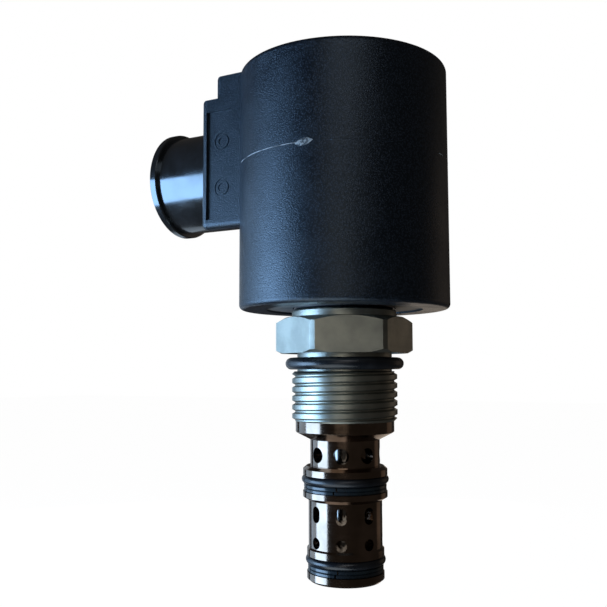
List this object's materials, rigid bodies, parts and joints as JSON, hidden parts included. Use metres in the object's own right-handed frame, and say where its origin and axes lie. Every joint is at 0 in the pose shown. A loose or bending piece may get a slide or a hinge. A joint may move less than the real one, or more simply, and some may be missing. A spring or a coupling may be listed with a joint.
{
  "type": "solenoid cartridge valve",
  "caption": "Screw-in hydraulic cartridge valve: hexagon adaptor, threaded shank and ported nose below, round solenoid coil with a side connector socket above.",
  "frame": {"origin": "on the valve's axis, in the plane of the hexagon's underside, which seats on the valve block", "axes": "+Z along the valve's axis, from the ported nose towards the coil nut; the connector socket points along -X; two corners of the hexagon lie on the Y axis"},
  "size_m": [0.0651, 0.0442, 0.1103],
  "materials": {
    "zinc_steel": "bright zinc plate with turning marks",
    "seal_rubber": "satin nitrile rubber",
    "cage_steel": "hardened steel, black oxide, polished",
    "backup_plastic": "dark filled PTFE",
    "tube_steel": "drawn and ground tube",
    "pole_steel": "turned magnetic iron",
    "spring_steel": "bright spring wire",
    "spool_steel": "ground and lapped hardened steel",
    "shim_brass": "rolled brass strip",
    "housing_plastic": "glass-filled nylon with a fine texture",
    "socket_plastic": "smooth black nylon",
    "yoke_steel": "zinc-plated soft steel",
    "bobbin_plastic": "black nylon",
    "winding_copper": "enamelled copper wire",
    "tape": "polyester tape",
    "contact_tin": "tin-plated brass",
    "nut_zinc": "zinc-plated steel"
  },
  "bodies": {
    "valve_body": {"adaptor_body": "zinc_steel", "body_o_ring": "seal_rubber", "cage": "cage_steel", "mid_o_ring": "seal_rubber", "mid_backup_ring_upper": "backup_plastic", "mid_backup_ring_lower": "backup_plastic", "nose_o_ring": "seal_rubber", "nose_backup_ring_upper": "backup_plastic", "nose_backup_ring_lower": "backup_plastic", "guide_tube": "tube_steel", "pole_piece": "pole_steel", "return_spring": "spring_steel"},
    "spool_and_armature": {"spool": "spool_steel", "armature": "pole_steel", "link_pin": "spool_steel", "anti_stick_shim": "shim_brass"},
    "coil": {"coil_housing": "housing_plastic", "connector_shroud": "socket_plastic", "yoke_tube": "yoke_steel", "flux_washer_lower": "yoke_steel", "flux_washer_upper": "yoke_steel", "bobbin": "bobbin_plastic", "winding": "winding_copper", "winding_tape": "tape", "contact_pin_left": "contact_tin", "contact_pin_right": "contact_tin", "coil_seal_lower": "seal_rubber"},
    "nut_seal": {"coil_nut_seal": "seal_rubber"},
    "nut": {"coil_nut": "nut_zinc"}
  },
  "joints": [
    {"name": "spool_shift", "type": "slide", "parent": "valve_body", "child": "spool_and_armature", "axis": [0, 0, 1], "range_m": [0, 0.0029], "stiffness_N_per_m": 2000, "springref_m": -0.004, "deforming": ["return_spring"]},
    {"name": "coil_turn", "type": "hinge", "parent": "valve_body", "child": "coil", "pos_m": [0, 0, 0.034], "axis": [0, 0, 1], "continuous": true},
    {"name": "nut_rise", "type": "slide", "parent": "valve_body", "child": "nut_seal", "axis": [0, 0, 1], "range_m": [0, 0.004]},
    {"name": "nut_turn", "type": "hinge", "parent": "nut_seal", "child": "nut", "pos_m": [0, 0, 0.0615], "axis": [0, 0, 1], "range_deg": [0, 1440.5]}
  ],
  "couplings": [
    {"joint": "nut_turn", "follows": "nut_rise", "rad_per_m": 6283.2}
  ]
}
